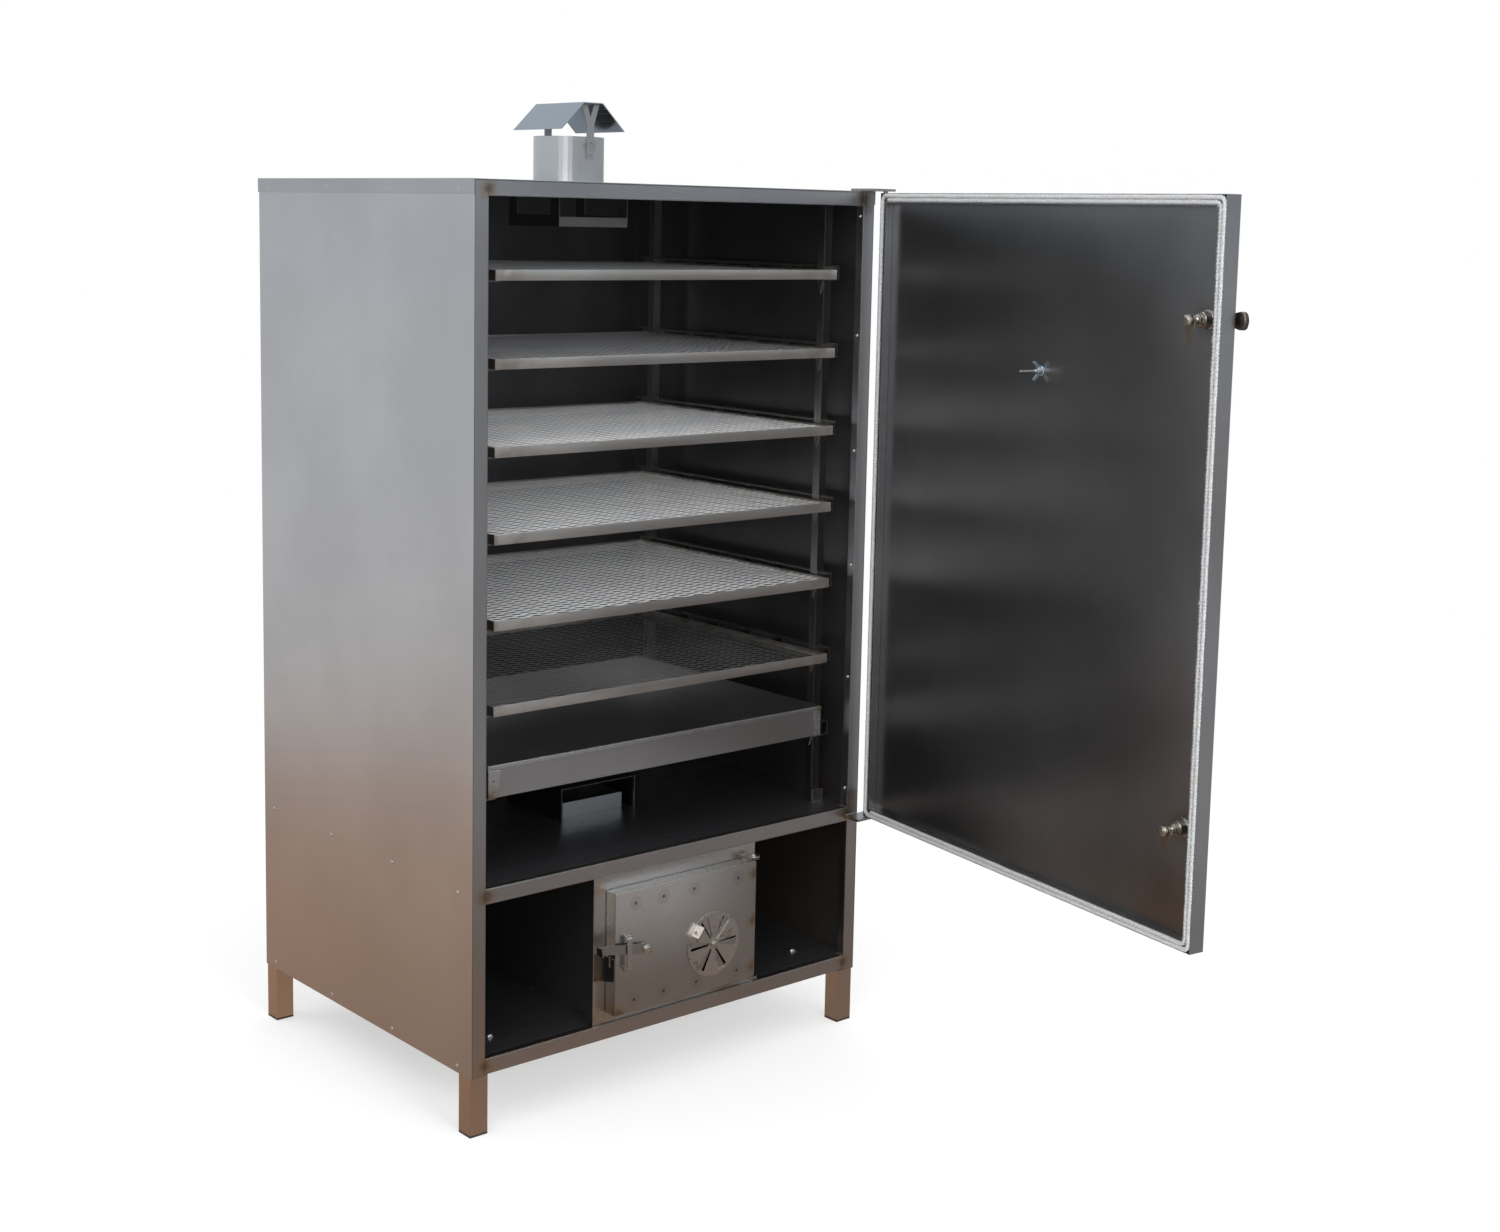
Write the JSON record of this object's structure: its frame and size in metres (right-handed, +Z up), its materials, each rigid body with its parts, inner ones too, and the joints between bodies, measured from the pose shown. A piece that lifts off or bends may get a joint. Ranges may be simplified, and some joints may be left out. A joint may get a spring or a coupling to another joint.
{
  "type": "cabinet smoker",
  "caption": "Sheet-steel cabinet smoker on legs, with a tall side-hinged door, sliding mesh racks, a drip tray, a solid-fuel firebox with a turning air disc, and a capped chimney.",
  "frame": {"origin": "on the floor, at the middle of the whole part's footprint with the main door open as stored", "axes": "+X to the right as seen from the front, +Y to the back, +Z up; the cabinet's open front faces -Y"},
  "size_m": [1.022, 1.8544, 1.983],
  "materials": {
    "brushed_steel": "satin brushed stainless sheet and tube",
    "inner_sheet": "smoke-darkened satin sheet",
    "bright_fittings": "bright satin",
    "rack_steel": "matt pickled",
    "foot_plastic": "matt black",
    "rope_gasket": "braided white rope",
    "door_wool": "mineral wool"
  },
  "bodies": {
    "cabinet": {"front_post_left": "brushed_steel", "side_panel_left": "brushed_steel", "rack_ladder_left": "inner_sheet", "leg_front_left": "brushed_steel", "foot_plug_front_left": "foot_plastic", "leg_rear_left": "brushed_steel", "foot_plug_rear_left": "foot_plastic", "front_post_right": "brushed_steel", "side_panel_right": "brushed_steel", "rack_ladder_right": "inner_sheet", "leg_front_right": "brushed_steel", "foot_plug_front_right": "foot_plastic", "leg_rear_right": "brushed_steel", "foot_plug_rear_right": "foot_plastic", "front_rail_bottom": "brushed_steel", "front_rail_middle": "brushed_steel", "front_rail_top": "brushed_steel", "back_panel": "brushed_steel", "lid": "brushed_steel", "compartment_floor": "inner_sheet", "chamber_shelf": "inner_sheet", "chimney_pipe": "bright_fittings", "chimney_cap": "brushed_steel", "cap_strap_front": "bright_fittings", "cap_strap_rear": "bright_fittings", "flue_baffle": "inner_sheet", "smoke_collar": "brushed_steel", "smoke_deflector": "bright_fittings", "firebox_body": "inner_sheet", "firebox_front": "brushed_steel", "firebox_hinge_pin": "bright_fittings", "latch_keeper": "bright_fittings", "door_hinge_bottom": "bright_fittings", "door_hinge_top": "bright_fittings"},
    "rack_1": {"rack_1": "rack_steel"},
    "rack_2": {"rack_2": "rack_steel"},
    "rack_3": {"rack_3": "rack_steel"},
    "rack_4": {"rack_4": "rack_steel"},
    "rack_5": {"rack_5": "rack_steel"},
    "rack_6": {"rack_6": "rack_steel"},
    "drip_tray": {"drip_tray": "brushed_steel"},
    "firebox_door": {"firebox_door": "brushed_steel", "air_disc_bolt": "bright_fittings", "latch_pivot_bolt": "bright_fittings", "lever_guide_loop": "bright_fittings"},
    "air_disc": {"air_disc": "bright_fittings"},
    "firebox_latch": {"firebox_latch_lever": "bright_fittings"},
    "main_door": {"door_outer": "brushed_steel", "door_inner_panel": "inner_sheet", "door_wool": "door_wool", "door_gasket": "rope_gasket", "latch_sleeve_upper": "bright_fittings", "latch_sleeve_lower": "bright_fittings", "thermometer": "bright_fittings", "thermometer_wing_nut": "bright_fittings"},
    "latch_upper": {"latch_handle_upper": "brushed_steel", "latch_tongue_upper": "bright_fittings"},
    "latch_lower": {"latch_handle_lower": "brushed_steel", "latch_tongue_lower": "bright_fittings"}
  },
  "joints": [
    {"name": "main_door_hinge", "type": "hinge", "parent": "cabinet", "child": "main_door", "pos_m": [0.49985, 0.0936, 1.14], "axis": [0, 0, 1], "range_deg": [-81.5, 35]},
    {"name": "latch_upper_turn", "type": "hinge", "parent": "main_door", "child": "latch_upper", "pos_m": [0.33963, -0.85666, 1.597], "axis": [-0.989, 0.1478, 0], "range_deg": [0, 90]},
    {"name": "latch_lower_turn", "type": "hinge", "parent": "main_door", "child": "latch_lower", "pos_m": [0.33963, -0.85666, 0.693], "axis": [-0.989, 0.1478, 0], "range_deg": [0, 90]},
    {"name": "firebox_door_hinge", "type": "hinge", "parent": "cabinet", "child": "firebox_door", "pos_m": [0.17635, 0.0991, 0.302], "axis": [0, 0, 1], "range_deg": [0, 110]},
    {"name": "firebox_latch_pivot", "type": "hinge", "parent": "firebox_door", "child": "firebox_latch", "pos_m": [-0.11815, 0.0831, 0.304], "axis": [0, 1, 0], "range_deg": [-12, 12]},
    {"name": "air_disc_turn", "type": "hinge", "parent": "firebox_door", "child": "air_disc", "pos_m": [0.06355, 0.0916, 0.273], "axis": [0, 1, 0], "range_deg": [-15, 15]},
    {"name": "rack_1_slide", "type": "slide", "parent": "cabinet", "child": "rack_1", "axis": [0, -1, 0], "range_m": [0, 0.4]},
    {"name": "rack_2_slide", "type": "slide", "parent": "cabinet", "child": "rack_2", "axis": [0, -1, 0], "range_m": [0, 0.4]},
    {"name": "rack_3_slide", "type": "slide", "parent": "cabinet", "child": "rack_3", "axis": [0, -1, 0], "range_m": [0, 0.4]},
    {"name": "rack_4_slide", "type": "slide", "parent": "cabinet", "child": "rack_4", "axis": [0, -1, 0], "range_m": [0, 0.4]},
    {"name": "rack_5_slide", "type": "slide", "parent": "cabinet", "child": "rack_5", "axis": [0, -1, 0], "range_m": [0, 0.4]},
    {"name": "rack_6_slide", "type": "slide", "parent": "cabinet", "child": "rack_6", "axis": [0, -1, 0], "range_m": [0, 0.4]},
    {"name": "drip_tray_slide", "type": "slide", "parent": "cabinet", "child": "drip_tray", "axis": [0, -1, 0], "range_m": [0, 0.4]}
  ]
}
